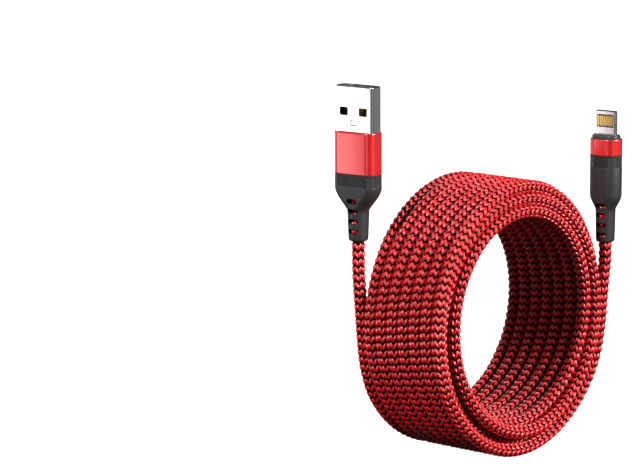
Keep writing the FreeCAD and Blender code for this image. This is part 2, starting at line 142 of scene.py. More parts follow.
# Metal sleeves and the dark bezel, in millimetres: width, thickness, corner, lower and upper end
USB_SLEEVE = (13.0, 6.3, 2.3, 18.1, 29.3)
USB_SLEEVE_WALL = 0.4
SLEEVE_CROWN = 0.18
PHONE_RING = (9.2, 6.4, 3.15, 24.4, 28.9)
PHONE_RING_WALL = 0.5
PHONE_BEZEL = (8.2, 5.2, 2.5, 28.9, 30.0)
BEZEL_ROUNDING = 0.45
BEZEL_HOLE = (7.1, 1.9, 0.9)
BEZEL_HOLE_DEPTH = 0.35
TUBE_EDGE = 0.16
TUBE_EDGE_MIDDLE = 0.05
TUBE_EDGE_SUPPORT = 0.3
TUBE_INNER_EDGE = 0.06

# USB shell, in millimetres
USB_SHELL = (12.0, 4.5, 0.7, 23.3, 41.6)
SHELL_WALL = 0.3
WINDOW_SIZE = (2.6, 2.25)
WINDOW_CORNER = 0.35
WINDOW_SPACING = 6.1
WINDOW_TOP = USB_SHELL[4] - 5.65
STOP_SIZE = (2.1, 1.45)
STOP_SLIT = 0.24
STOP_TOP = USB_SHELL[4] - 9.1
SEAM_HALF_WIDTH = 0.06
SEAM_ENDS = (23.0, 42.0)
FACE_CUT = (1.7, 3.0)
SHELL_RINGS = 6
SHELL_SUPPORT = 0.3
SHELL_TIP_START = 0.14
SHELL_TIP = ((0.04, 0.05), (0.12, 0), (0.2, 0), (0.28, 0.06))

# Rings of every outline, in millimetres, and the least bend that shows as an edge, in radians
CORNER_POINTS = 25
ROUNDING_RINGS = 6
SMALLEST_CORNER = 0.01
ROUND_SLACK = 0.001
SHARP_ANGLE = math.radians(32)

# Braid: six V's round the cord, each a rising and a falling column of red and black yarns
VEES = 6
YARN_PERIOD = 2.08 * MM
YARN_SLANT = 0.95
CORE_RADIUS = 1.45 * MM
YARN_ROOT = 1.50 * MM
BRAID_PHASE = 5.0
RED_SHARE = 0.66
RED_TOP = 1.87 * MM
RED_YARN = {"share": RED_SHARE, "top": RED_TOP, "offset": 0.0, "grid": (4, 4), "parts": 5, "seed": 0}
BLACK_SHARE = 1.2 * (1 - RED_SHARE)
BLACK_TOP = 1.64 * MM
BLACK_YARN = {"share": BLACK_SHARE, "top": BLACK_TOP, "offset": 0.5, "grid": (3, 2), "parts": 2, "seed": 100}
FLOAT_LAP = 0.06
FLOAT_NARROWING = 0.22
FLOAT_SINKING = 0.55
LENGTH_SPREAD = 0.02 * MM
RADIUS_SPREAD = 0.012 * MM
TONE_SPREAD = 0.2
SQUARE_MARGIN = 0.08

# Colours: the darker and the lighter end of each material's fine grain
PALETTE = {
    "boot": ((0.034, 0.036, 0.038), (0.052, 0.054, 0.056)),
    "red_metal": ((0.78, 0.010, 0.012), (0.88, 0.014, 0.016)),
    "steel": ((0.80, 0.80, 0.81), (0.88, 0.88, 0.89)),
    "dark_plastic": ((0.018, 0.019, 0.019), (0.035, 0.036, 0.036)),
    "tongue_steel": ((0.70, 0.70, 0.71), (0.84, 0.84, 0.85)),
    "carrier": ((0.02, 0.021, 0.022), (0.05, 0.051, 0.052)),
    "insulator": ((0.03, 0.032, 0.034), (0.06, 0.062, 0.062)),
    "mould": ((0.01, 0.01, 0.011), (0.03, 0.03, 0.03)),
    "gold": ((0.62, 0.40, 0.11), (0.85, 0.60, 0.22)),
    "board": ((0.01, 0.09, 0.04), (0.02, 0.16, 0.07)),
    "chip": ((0.01, 0.01, 0.01), (0.03, 0.03, 0.03)),
    "capacitor": ((0.35, 0.25, 0.15), (0.5, 0.38, 0.25)),
    "solder": ((0.55, 0.55, 0.56), (0.75, 0.75, 0.76)),
    "jacket": ((0.02, 0.02, 0.02), (0.05, 0.05, 0.05)),
    "red_yarn": ((0.42, 0.004, 0.006), (0.70, 0.008, 0.012)),
    "black_yarn": ((0.003, 0.0004, 0.0005), (0.014, 0.001, 0.0012)),
    "cord_core": ((0.006, 0.001, 0.001), (0.02, 0.003, 0.004)),
}
# The colour of the painted shade in the knurl's pits
PIT_SHADE_COLOR = (0.004, 0.004, 0.004)
WIRE_COLORS = {
    "red": (0.5, 0.02, 0.02),
    "white": (0.7, 0.7, 0.68),
    "green": (0.02, 0.3, 0.06),
    "black": (0.02, 0.02, 0.02),
}
WIRE_SHADE = 0.8
GRAIN_ENDS = (0.3, 0.7)
ROUGHNESS_SPREAD = 0.15
RELIEF_DEPTH = 0.02 * MM

# Studio: wide suns, by how far each stands left, up and near the camera, and low upright panels
SUNS = {
    "key": {"left": 0.62, "up": 0.68, "near": 0.72, "strength": 3.5, "width": 7.0},
    "side": {"left": -0.89, "up": 0.44, "near": 0.45, "strength": 6.5, "width": 12.0},
    "back": {"left": 0.45, "up": 0.62, "near": -0.85, "strength": 1.4, "width": 12.0},
}
PANELS = {
    "far_left_panel": {"azimuth": -86, "distance": 0.22, "spread": 0.10, "radiance": 1.1},
    "back_panel": {"azimuth": 222, "distance": 0.30, "spread": 0.25, "radiance": 1.2},
    "left_panel": {"azimuth": -37, "distance": 0.22, "spread": 0.10, "radiance": 2.7},
    "right_panel": {"azimuth": 76, "distance": 0.30, "spread": 0.12, "radiance": 0.5},
    "front_panel": {"azimuth": 6, "distance": 0.30, "spread": 0.07, "radiance": 1.5},
    "side_panel": {"azimuth": 152, "distance": 0.30, "spread": 0.20, "radiance": 0.16},
}
PANEL_LOW = 0.012
PANEL_HEIGHT = 0.068
FLOOR_REACH = 8.0
FLOOR_GREY = (0.3, 0.3, 0.3)
WHITE = (1, 1, 1, 1)
WORLD_GLOW = 0.04

# Picture; the aim's two turns are in radians
PICTURE = (641, 476)
CAMERA_SPOT = (38.42, 11.72, 900.0)
CAMERA_AIM = (-0.0488, 0.0225)
CAMERA_ROLL = 0.306
CAMERA_FOCAL = 3291.6
CAMERA_SENSOR = 36.0
CAMERA_NEAR = 0.01
CAMERA_FAR = 50.0


def steady(share):
    return share


def ease(share):
    return share * share * (3 - 2 * share)


def between(table, turn, pace):
    for low, high in zip(table, table[1:]):
        if turn <= high[0]:
            share = (turn - low[0]) / (high[0] - low[0])
            return low[1] + pace(share) * (high[1] - low[1])
    return table[-1][1]


def lean_at(turn):
    side = (1 - math.cos(2 * math.pi * turn)) / 2
    if INNER_START < turn < INNER_END:
        return INNER_LEAN * side * (turn - INNER_START) / (INNER_END - INNER_START)
    if turn > OUTER_START:
        return OUTER_LEAN * side * (turn - OUTER_START) / (OUTER_END - OUTER_START)
    return 0


def coil_point(turn, swell=1.0):
    across = between(ACROSS_AT_TURN, turn, steady) + lean_at(turn)
    radius = (INNER_RADIUS + between(LAYER_AT_TURN, turn, ease) * LAYER_STEP) * swell
    angle = 2 * math.pi * turn
    return Vector((
        FAR_FACE + across * TURN_PITCH,
        -radius * math.cos(angle),
        CENTRE_HEIGHT - radius * math.sin(angle),
    ))


def raised(point, height):
    return point + Vector((0, 0, height))


def cord_points():
    """The cord's control points: out of one boot, round the coil and into the other boot."""
    swell = 1 / math.cos(math.pi / POINTS_PER_TURN)
    total = LAYER_AT_TURN[-1][0]
    turns = [step / POINTS_PER_TURN for step in range(1, int(total * POINTS_PER_TURN))]
    points = [raised(USB_FOOT, CORD_INTO_USB), USB_FOOT.copy(), raised(USB_FOOT, -STRAIGHT_BELOW_USB)]
    points.append(raised(coil_point(0), STRAIGHT_ABOVE_COIL))
    points += [coil_point(turn, swell) for turn in turns]
    points.append(raised(coil_point(total), STRAIGHT_ABOVE_COIL))
    points += [raised(PHONE_FOOT, -STRAIGHT_BELOW_PHONE), PHONE_FOOT.copy()]
    points.append(raised(PHONE_FOOT, CORD_INTO_PHONE))
    return points


def spline_curve(name, points):
    curve = bpy.data.curves.new(name, "CURVE")
    curve.dimensions = "3D"
    curve.resolution_u = 8
    spline = curve.splines.new("NURBS")
    spline.points.add(len(points) - 1)
    for place, point in zip(spline.points, points):
        place.co = (*point, 1)
    spline.order_u = 3
    spline.use_endpoint_u = True
    return curve


def link(name, data):
    piece = bpy.data.objects.new(name, data)
    bpy.context.scene.collection.objects.link(piece)
    return piece


def read_line(curve):
    """The points of a curve that has no thickness."""
    probe = bpy.data.objects.new("route", curve)
    mesh = bpy.data.meshes.new_from_object(probe)
    line = np.array([vertex.co for vertex in mesh.vertices])
    bpy.data.meshes.remove(mesh)
    bpy.data.objects.remove(probe)
    return line


class Route:
    """The cord's line with a direction, an outward side and a sideways side at any length."""

    def __init__(self, line):
        steps = np.linalg.norm(np.diff(line, axis=0), axis=1)
        keep = np.concatenate([[True], steps > SHORTEST_STEP])
        self.line = line[keep]
        steps = np.linalg.norm(np.diff(self.line, axis=0), axis=1)
        self.along = np.concatenate([[0], np.cumsum(steps)])
        self.length = float(self.along[-1])
        way = np.gradient(self.line, self.along, axis=0)
        way /= np.linalg.norm(way, axis=1)[:, None]
        axis = np.array([1.0, 0, 0])
        sideways = axis - way * (way @ axis)[:, None]
        self.sideways = sideways / np.linalg.norm(sideways, axis=1)[:, None]
        self.outward = np.cross(way, self.sideways)

    def at(self, length, table):
        return np.stack([np.interp(length, self.along, table[:, axis]) for axis in range(3)], axis=-1)

    def place(self, angle, length, radius):
        """Points at an angle round the line, a length along it and a radius from it."""
        outward = self.at(length, self.outward)
        sideways = self.at(length, self.sideways)
        side = np.cos(angle)[..., None] * outward + np.sin(angle)[..., None] * sideways
        return self.at(length, self.line) + radius[..., None] * side


def float_patch(grid, slant, share, top):
    """One yarn's visible float: angles, lengths and radii of a small domed grid, and its faces."""
    column = math.pi / VEES
    across, along = grid
    a = np.linspace(-FLOAT_LAP, 1 + FLOAT_LAP, across + 1)
    b = np.linspace(-1, 1, along + 1)
    a, b = np.meshgrid(a, b, indexing="ij")
    end = np.abs(2 * a - 1)
    half = share * YARN_PERIOD / 2 * (1 - FLOAT_NARROWING * end ** 4)
    dome = np.sqrt(1 - b ** 2) * (1 - FLOAT_SINKING * end ** 4)
    angle = a * column
    length = b * half + slant * YARN_SLANT * (a - 0.5) * column * CORD_RADIUS
    radius = YARN_ROOT + (top - YARN_ROOT) * dome
    index = np.arange((across + 1) * (along + 1)).reshape(across + 1, along + 1)
    faces = np.stack([index[:-1, :-1], index[:-1, 1:], index[1:, 1:], index[1:, :-1]], axis=-1)
    return angle.ravel(), length.ravel(), radius.ravel(), faces.reshape(-1, 4), a.ravel(), b.ravel()


def quad_mesh(name, places, faces):
    """A smooth mesh of four-sided faces."""
    mesh = bpy.data.meshes.new(name)
    mesh.vertices.add(len(places))
    mesh.vertices.foreach_set("co", places.astype(np.float32).ravel())
    mesh.loops.add(len(faces) * 4)
    mesh.loops.foreach_set("vertex_index", faces.astype(np.int32).ravel())
    mesh.polygons.add(len(faces))
    mesh.polygons.foreach_set("loop_start", np.arange(0, len(faces) * 4, 4, dtype=np.int32))
    mesh.polygons.foreach_set("use_smooth", np.ones(len(faces), bool))
    mesh.update(calc_edges=True)
    return mesh


def braid(route, name, start, end, yarn, material, seed):
    """All floats of one colour between two lengths of the cord, as one mesh."""
    column = math.pi / VEES
    rows = np.arange(math.ceil(start / YARN_PERIOD), math.ceil(end / YARN_PERIOD))
    row, vee, half = np.meshgrid(rows, np.arange(VEES), [0, 1], indexing="ij")
    row, vee, half = row.ravel(), vee.ravel(), half.ravel()
    random = np.random.default_rng(seed)
    jitter = random.normal(0, 1, (len(row), 3))
    shapes = [float_patch(yarn["grid"], slant, yarn["share"], yarn["top"]) for slant in (1, -1)]
    angle, length, radius = (np.stack([shape[part] for shape in shapes])[half] for part in range(3))
    angle = angle + (math.radians(BRAID_PHASE) + (2 * vee + half) * column)[:, None]
    length = length + ((row + yarn["offset"]) * YARN_PERIOD)[:, None] + LENGTH_SPREAD * jitter[:, :1]
    radius = radius + RADIUS_SPREAD * jitter[:, 1:2]
    length = np.clip(length, 0, route.length)
    places = route.place(angle, length, radius).reshape(-1, 3)
    per_float = angle.shape[1]
    faces = shapes[0][3][None] + (np.arange(len(row)) * per_float)[:, None, None]
    faces = faces.reshape(-1, 4)
    mesh = quad_mesh(name, places, faces)
    tone = np.repeat(np.clip(0.5 + TONE_SPREAD * jitter[:, 2], 0, 1), per_float)
    attribute = mesh.attributes.new("tone", "FLOAT", "POINT")
    attribute.data.foreach_set("value", tone.astype(np.float32))
    lay_out(mesh, faces, shapes[0][4], shapes[0][5], len(row), per_float)
    mesh.materials.append(material)
    piece = link(name, mesh)
    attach(piece, "root")
    return piece


def lay_out(mesh, faces, a, b, count, per_float):
    """Flat maps: one that runs along each yarn, and one that gives each float a square of its own."""
    yarn = np.stack([np.tile(a, count), np.tile(b, count)], axis=1)
    layer = mesh.uv_layers.new(name="Yarn")
    layer.data.foreach_set("uv", yarn[faces.ravel()].astype(np.float32).ravel())
    side = math.ceil(math.sqrt(count))
    number = np.repeat(np.arange(count), per_float)
    square = np.stack([number % side, number // side], axis=1)
    share = np.stack([(a + FLOAT_LAP) / (1 + 2 * FLOAT_LAP), (b + 1) / 2], axis=1)
    inside = SQUARE_MARGIN + (1 - 2 * SQUARE_MARGIN) * np.tile(share, (count, 1))
    layer = mesh.uv_layers.new(name="OFBake")
    layer.data.foreach_set("uv", ((square + inside) / side)[faces.ravel()].astype(np.float32).ravel())


def new_material(name, **sockets):
    material = bpy.data.materials.new(name)
    material.use_nodes = True
    shader = material.node_tree.nodes["Principled BSDF"]
    for key, value in sockets.items():
        shader.inputs[key.replace("_", " ")].default_value = value
    return material, material.node_tree, shader


def grade(tree, colors, factor):
    """Colour that runs from the darker to the lighter of two tones."""
    ramp = tree.nodes.new("ShaderNodeValToRGB")
    for element, color in zip(ramp.color_ramp.elements, colors):
        element.color = (*color, 1)
    tree.links.new(factor, ramp.inputs["Fac"])
    return ramp


def red_yarn():
    material, tree, shader = new_material("red_yarn", Roughness=0.33, Specular_IOR_Level=1.0)
    shader.inputs["Specular Tint"].default_value = (1, 0.8, 0.8, 1)
    tone = tree.nodes.new("ShaderNodeAttribute")
    tone.attribute_name = "tone"
    ramp = grade(tree, PALETTE["red_yarn"], tone.outputs["Fac"])
    tree.links.new(ramp.outputs["Color"], shader.inputs["Base Color"])
    yarn = tree.nodes.new("ShaderNodeUVMap")
    yarn.uv_map = "Yarn"
    threads = tree.nodes.new("ShaderNodeTexWave")
    threads.bands_direction = "Y"
    threads.inputs["Scale"].default_value = 1.6
    threads.inputs["Distortion"].default_value = 2.0
    tree.links.new(yarn.outputs["UV"], threads.inputs["Vector"])
    bump = tree.nodes.new("ShaderNodeBump")
    bump.inputs["Strength"].default_value = 0.35
    bump.inputs["Distance"].default_value = 0.05 * MM
    tree.links.new(threads.outputs["Fac"], bump.inputs["Height"])
    tree.links.new(bump.outputs["Normal"], shader.inputs["Normal"])
    return material


def speckle(tree, shader, colors, grain):
    """Fine uneven colour through a material."""
    place = tree.nodes.new("ShaderNodeTexCoord")
    noise = tree.nodes.new("ShaderNodeTexNoise")
    noise.inputs["Scale"].default_value = grain
    ramp = grade(tree, colors, noise.outputs["Fac"])
    tree.links.new(place.outputs["Object"], noise.inputs["Vector"])
    tree.links.new(ramp.outputs["Color"], shader.inputs["Base Color"])


def black_yarn():
    material, tree, shader = new_material("black_yarn", Roughness=0.7, Specular_IOR_Level=0.05)
    speckle(tree, shader, PALETTE["black_yarn"], grain=4000.0)
    return material


def phone_pieces():
    """The plug on the cord's far end."""
    skins = ["phone_boot_skin", "phone_ring_skin", "phone_bezel_skin"]
    inner = ["blade_frame", "blade_insulator", "contacts_front", "contacts_back"]
    inner += ["circuit_board", "chip", "capacitors", "shield_can", "inner_mould"]
    return [bpy.data.objects[name] for name in skins] + [nodes["phone_" + name] for name in inner]


def braid_pieces(route, color, yarn, material):
    """The yarns of one colour, each piece along its own share of the cord."""
    pieces = []
    for part in range(yarn["parts"]):
        start = route.length * part / yarn["parts"]
        end = route.length * (part + 1) / yarn["parts"]
        name = f"braid_{color}_{part + 1}"
        pieces.append(braid(route, name, start, end, yarn, material, yarn["seed"] + part))
    return pieces


def make_cord():
    curve = spline_curve("cord_core", cord_points())
    route = Route(read_line(curve))
    curve.bevel_depth = CORE_RADIUS
    curve.bevel_resolution = 3
    core_material, tree, shader = new_material("cord_core", Roughness=0.8)
    speckle(tree, shader, PALETTE["cord_core"], grain=3000.0)
    curve.materials.append(core_material)
    core = link("cord_core", curve)
    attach(core, "root")
    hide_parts("cord_coil", "usb_end_cord", "phone_end_cord")
    pieces = braid_pieces(route, "red", RED_YARN, red_yarn())
    pieces += braid_pieces(route, "black", BLACK_YARN, black_yarn())
    pieces + phone_pieces()


def rounded_loop(width, thickness, corner, count):
    """Evenly spaced points round a rectangle with round corners, from the middle of its +X side."""
    hx, hy = width / 2 - corner, thickness / 2 - corner
    bend = np.linspace(0, math.pi / 2, CORNER_POINTS)
    path = [np.array([[width / 2, 0.0]])]
    for quarter, (sx, sy) in enumerate(((1, 1), (-1, 1), (-1, -1), (1, -1))):
        angle = bend + quarter * math.pi / 2
        path.append(np.stack([sx * hx + corner * np.cos(angle), sy * hy + corner * np.sin(angle)], axis=1))
    path = np.concatenate(path + [path[0]])
    along = np.concatenate([[0], np.cumsum(np.linalg.norm(np.diff(path, axis=0), axis=1))])
    steps = np.linspace(0, along[-1], count, endpoint=False)
    return np.stack([np.interp(steps, along, path[:, axis]) for axis in (0, 1)], axis=1)


def ring(width, thickness, corner, height, count):
    loop = rounded_loop(width, thickness, max(corner, SMALLEST_CORNER), count)
    return np.column_stack([loop, np.full(count, height)])


def round_ring(radius, height, count):
    return ring(2 * radius, 2 * radius, radius - ROUND_SLACK, height, count)


def inset_ring(size, inset, height, count):
    """A ring that lies evenly inside an outline of some width, thickness and corner."""
    width, thickness, corner = size[:3]
    return ring(width - 2 * inset, thickness - 2 * inset, corner - inset, height, count)


def loft(rings, closed=False):
    """Points and faces of a skin through rings; closed joins the last ring to the first."""
    count = len(rings[0])
    rows = np.arange(len(rings) * count).reshape(len(rings), count)
    ahead = np.roll(rows, -1, axis=1)
    if closed:
        lower, upper = (rows, ahead), (np.roll(rows, -1, axis=0), np.roll(ahead, -1, axis=0))
    else:
        lower, upper = (rows[:-1], ahead[:-1]), (rows[1:], ahead[1:])
    faces = np.stack([lower[0], lower[1], upper[1], upper[0]], axis=-1).reshape(-1, 4).tolist()
    if not closed:
        faces.append(rows[0][::-1].tolist())
        faces.append(rows[-1].tolist())
    return np.concatenate(rings), faces


def prism(outline, low, high):
    """An outline on X and Z, swept along Y."""
    front = np.array([(x, low, z) for x, z in outline])
    back = np.array([(x, high, z) for x, z in outline])
    return loft([back, front])


def face_cuts(outline, depths, sides=(1, -1)):
    """Cutters through the wall behind, in front, or both, between two distances from the middle."""
    near, far = depths
    return [prism(outline, near, far) if side > 0 else prism(outline, -far, -near) for side in sides]


def joined(shapes):
    points, faces, shift = [], [], 0
    for some_points, some_faces in shapes:
        points.append(some_points)
        faces += [[index + shift for index in face] for face in some_faces]
        shift += len(some_points)
    return np.concatenate(points), faces


def plug_place(foot):
    return Matrix.Translation(foot) @ Matrix.Rotation(math.radians(PLUG_TURN), 4, "Z")


def mesh_piece(name, shape, foot, cutters=None, grip=None):
    """A piece from points in millimetres that stand on a plug's foot, less its cutters."""
    points, faces = shape
    mesh = bpy.data.meshes.new(name)
    mesh.from_pydata((points * MM).tolist(), [], faces)
    mesh.validate()
    piece = link(name, mesh)
    if cutters:
        cutter_mesh = bpy.data.meshes.new("cutter")
        cutter_mesh.from_pydata((cutters[0] * MM).tolist(), [], cutters[1])
        cutter = link("cutter", cutter_mesh)
        cut = piece.modifiers.new("cut", "BOOLEAN")
        cut.operation = "DIFFERENCE"
        cut.solver = "EXACT"
        cut.object = cutter
        solid = bpy.data.meshes.new_from_object(piece.evaluated_get(bpy.context.evaluated_depsgraph_get()))
        piece.modifiers.clear()
        piece.data = solid
        bpy.data.objects.remove(cutter)
        bpy.data.meshes.remove(mesh)
        mesh = solid
        mesh.name = name
    # The knurl's depth, marked for painted shade in its pits
    if grip:
        mark_pit_shade(piece, grip)
    mesh.transform(plug_place(foot))
    mesh.shade_smooth()
    mesh.set_sharp_from_angle(angle=SHARP_ANGLE)
    return piece


def add_piece(name, shape, foot, material, replaced, cutters=None, grip=None):
    piece = mesh_piece(name, shape, foot, cutters, grip)
    piece.data.materials.clear()
    piece.data.materials.append(material)
    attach(piece, "root")
    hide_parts(replaced)
    return piece


def knurled(loop, height, low, high):
    """A ring pressed in by the diamonds of the grip's knurled band."""
    count = len(loop)
    way = np.roll(loop, -1, axis=0) - np.roll(loop, 1, axis=0)
    way /= np.linalg.norm(way, axis=1)[:, None]
    outward = np.stack([way[:, 1], -way[:, 0]], axis=1)
    across = np.arange(count) / STEPS_PER_DIAMOND
    up = (height - low) / KNURL_HEIGHT
    rising = np.abs(2 * ((across + up) % 1) - 1)
    falling = np.abs(2 * ((across - up) % 1) - 1)
    fade = min(1, (height - low) / KNURL_FADE, (high - height) / KNURL_FADE)
    pit = np.clip(KNURL_STEEPNESS * np.minimum(1 - rising, 1 - falling) - KNURL_NET, 0, 1)
    depth = KNURL_DEPTH * fade * pit
    return loop - outward * depth[:, None]


def neck_rings(size, count):
    """Up from the bore's end, round the mouth and along the neck."""
    neck, root, neck_length = size["neck"], size["root"], size["neck_length"]
    rings = [round_ring(BORE_RADIUS, size["bore_depth"], count)]
    rings.append(round_ring(BORE_RADIUS, BORE_CHAMFER_HEIGHT, count))
    rings.append(round_ring(BORE_RADIUS + BORE_CHAMFER, 0.0, count))
    for angle in np.linspace(0, math.pi / 2, ROUNDING_RINGS):
        radius = neck - MOUTH_ROUNDING * (1 - math.sin(angle))
        rings.append(round_ring(radius, MOUTH_ROUNDING * (1 - math.cos(angle)), count))
    for height in np.linspace(MOUTH_ROUNDING, neck_length, NECK_RINGS)[1:]:
        rings.append(round_ring(neck + (root - neck) * height / neck_length, height, count))
    return rings


def shoulder_rings(size, count):
    """From the round neck to the grip's rounded oblong."""
    width, thickness, corner, root = size["width"], size["thickness"], size["corner"], size["root"]
    rings = []
    for share in np.linspace(0, 1, SHOULDER_RINGS)[1:]:
        grown = 0.5 * ease(share) + 0.5 * (1 - (1 - share) ** SHOULDER_FULLNESS)
        span = 2 * root + (width - 2 * root) * grown
        depth = 2 * root + (thickness - 2 * root) * grown
        bend = root + (corner - root) * grown - ROUND_SLACK
        rings.append(ring(span, depth, bend, size["neck_length"] + share * size["shoulder"], count))
    return rings


def boot_rings(size):
    """Over neck and shoulder and up the knurled band to the grip's top."""
    count = size["diamonds"] * STEPS_PER_DIAMOND
    outline = (size["width"], size["thickness"], size["corner"])
    rings = neck_rings(size, count) + shoulder_rings(size, count)
    low, high = size["knurl"]
    loop = rounded_loop(*outline, count)
    for height in np.arange(low, high + ROUND_SLACK, KNURL_HEIGHT / STEPS_PER_DIAMOND):
        rings.append(np.column_stack([knurled(loop, height, low, high), np.full(count, height)]))
    rings.append(inset_ring(outline, 0, size["height"] - TOP_CHAMFER, count))
    rings.append(inset_ring(outline, TOP_CHAMFER, size["height"], count))
    rings.append(inset_ring(outline, TOP_RIM, size["height"], count))
    return rings


def mark_pit_shade(piece, size):
    """Mark how deep each point of the knurled band lies under the grip's plain outline, for the painted shade
    in its pits.
    """
    mesh = piece.data
    points = np.empty(len(mesh.vertices) * 3)
    mesh.vertices.foreach_get("co", points)
    points = points.reshape(-1, 3) / MM
    half = np.array([size["width"], size["thickness"]]) / 2 - size["corner"]
    beyond = np.abs(points[:, :2]) - half
    outside = np.linalg.norm(np.maximum(beyond, 0), axis=1)
    under = size["corner"] - outside - np.minimum(np.maximum(beyond[:, 0], beyond[:, 1]), 0)
    low, high = size["knurl"]
    fade = np.clip(np.minimum(points[:, 2] - low, high - points[:, 2]) / NET_FADE, 0, 1)
    pressed = np.clip(under / KNURL_DEPTH, 0, 1)
    pits = mesh.attributes.new("pit", "FLOAT", "POINT")
    pits.data.foreach_set("value", PLAIN_SKIN + (pressed - PLAIN_SKIN) * fade)


def stadium(width, height, x, z):
    """A slot's outline: straight above and below, round left and right."""
    radius = height / 2
    reach = width / 2 - radius
    right = np.linspace(-math.pi / 2, math.pi / 2, 9)
    left = right + math.pi
    outline = []
    for middle, bend in ((x + reach, right), (x - reach, left)):
        outline += [(middle + radius * math.cos(angle), z + radius * math.sin(angle)) for angle in bend]
    return outline


def slot_cutters(size):
    prisms = []
    for number in range(SLOT_COUNT):
        middle = size["slot_start"] + SLOT_SIZE[1] / 2 + number * SLOT_PITCH
        prisms += face_cuts(stadium(*SLOT_SIZE, SLOT_SHIFT, middle), SLOT_CUT)
    return joined(prisms)


def crowned(points, width):
    """The same ring with its wide faces slightly arched."""
    points = points.copy()
    arch = SLEEVE_CROWN * np.clip(1 - (2 * points[:, 0] / width) ** 2, 0, 1)
    points[:, 1] += np.sign(points[:, 1]) * arch
    return points


def sleeve_rings(size, wall, count=192):
    """A tube with small round edges: up the outside, down the inside."""
    low, high = size[3:]
    steps = [(TUBE_EDGE, low), (TUBE_EDGE_MIDDLE, low + TUBE_EDGE_MIDDLE), (0, low + TUBE_EDGE)]
    steps += [(0, low + TUBE_EDGE_SUPPORT), (0, high - TUBE_EDGE_SUPPORT), (0, high - TUBE_EDGE)]
    steps += [(TUBE_EDGE_MIDDLE, high - TUBE_EDGE_MIDDLE), (TUBE_EDGE, high)]
    steps += [(wall - TUBE_INNER_EDGE, high), (wall, high - TUBE_INNER_EDGE), (wall, low)]
    return [crowned(inset_ring(size, inset, height, count), size[0]) for inset, height in steps]


def bezel_rings(size, hole, count=128):
    low, high = size[3:]
    rings = [inset_ring(size, 0, low, count)]
    for angle in np.linspace(0, math.pi / 2, ROUNDING_RINGS):
        inset = BEZEL_ROUNDING * (1 - math.cos(angle))
        height = high - BEZEL_ROUNDING * (1 - math.sin(angle))
        rings.append(inset_ring(size, inset, height, count))
    rings.append(ring(*hole, high, count))
    rings.append(ring(*hole, high - BEZEL_HOLE_DEPTH, count))
    return rings


def stop_outline():
    """The slit that leaves the pressed stop joined on one side."""
    half = STOP_SIZE[0] / 2
    low, high = STOP_TOP - STOP_SIZE[1], STOP_TOP
    return [
        (-half, low),
        (half, low),
        (half, low + STOP_SLIT),
        (-half + STOP_SLIT, low + STOP_SLIT),
        (-half + STOP_SLIT, high - STOP_SLIT),
        (half, high - STOP_SLIT),
        (half, high),
        (-half, high),
    ]


def seam_outline():
    half = SEAM_HALF_WIDTH
    low, high = SEAM_ENDS
    return [(-half, low), (half, low), (half, high), (-half, high)]


def shell_cutters():
    """Two windows through each wide face, the pressed stop in front and the folded seam behind."""
    shapes = []
    window_width, window_height = WINDOW_SIZE
    middle = WINDOW_TOP - window_height / 2
    for side in (-1, 1):
        loop = rounded_loop(window_width, window_height, WINDOW_CORNER, 32)
        shapes += face_cuts([(x + side * WINDOW_SPACING / 2, z + middle) for x, z in loop], FACE_CUT)
    shapes += face_cuts(stop_outline(), FACE_CUT, sides=[-1])
    shapes += face_cuts(seam_outline(), FACE_CUT, sides=[1])
    return joined(shapes)


def shell_rings(size, count=240):
    """Up the outside, over the rolled open end and down the inside."""
    low, high = size[3:]
    steps = [(0, height) for height in np.linspace(low, high - SHELL_SUPPORT, SHELL_RINGS)]
    steps += [(0, high - SHELL_TIP_START)] + [(inset, high - drop) for inset, drop in SHELL_TIP]
    steps += [(SHELL_WALL, high - SHELL_TIP_START), (SHELL_WALL, low)]
    return [inset_ring(size, inset, height, count) for inset, height in steps]


def textured(name, roughness, metallic=0.0, grain=900.0, stretch=(1, 1, 1), bump=0.15, shine=0.5, colors=None):
    """A material whose colour, roughness and surface vary with a fine grain."""
    material, tree, shader = new_material(name, Metallic=metallic, Specular_IOR_Level=shine)
    place = tree.nodes.new("ShaderNodeTexCoord")
    mapping = tree.nodes.new("ShaderNodeMapping")
    mapping.inputs["Scale"].default_value = stretch
    noise = tree.nodes.new("ShaderNodeTexNoise")
    noise.inputs["Scale"].default_value = grain
    noise.inputs["Detail"].default_value = 3.0
    ramp = grade(tree, colors or PALETTE[name], noise.outputs["Fac"])
    for element, position in zip(ramp.color_ramp.elements, GRAIN_ENDS):
        element.position = position
    rough = tree.nodes.new("ShaderNodeMapRange")
    rough.inputs["To Min"].default_value = roughness * (1 - ROUGHNESS_SPREAD)
    rough.inputs["To Max"].default_value = roughness * (1 + ROUGHNESS_SPREAD)
    relief = tree.nodes.new("ShaderNodeBump")
    relief.inputs["Strength"].default_value = bump
    relief.inputs["Distance"].default_value = RELIEF_DEPTH
    tree.links.new(place.outputs["Object"], mapping.inputs["Vector"])
    tree.links.new(mapping.outputs["Vector"], noise.inputs["Vector"])
    tree.links.new(ramp.outputs["Color"], shader.inputs["Base Color"])
    tree.links.new(noise.outputs["Fac"], rough.inputs["Value"])
    tree.links.new(rough.outputs["Result"], shader.inputs["Roughness"])
    tree.links.new(noise.outputs["Fac"], relief.inputs["Height"])
    tree.links.new(relief.outputs["Normal"], shader.inputs["Normal"])
    return material


def paint_pit_shade(material):
    """Painted shade: the deeper a point of the knurl, the darker its colour, and the net is painted lighter
    than the plain skin.
    """
    tree = material.node_tree
    shader = tree.nodes["Principled BSDF"]
    pit = tree.nodes.new("ShaderNodeAttribute")
    pit.attribute_name = "pit"
    plain = shader.inputs["Base Color"].links[0].from_socket
    shade = tree.nodes.new("ShaderNodeMix")
    shade.data_type = "RGBA"
    shade.inputs["B"].default_value = (*PIT_SHADE_COLOR, 1)
    tree.links.new(pit.outputs["Fac"], shade.inputs["Factor"])
    tree.links.new(plain, shade.inputs["A"])
    tree.links.new(shade.outputs["Result"], shader.inputs["Base Color"])


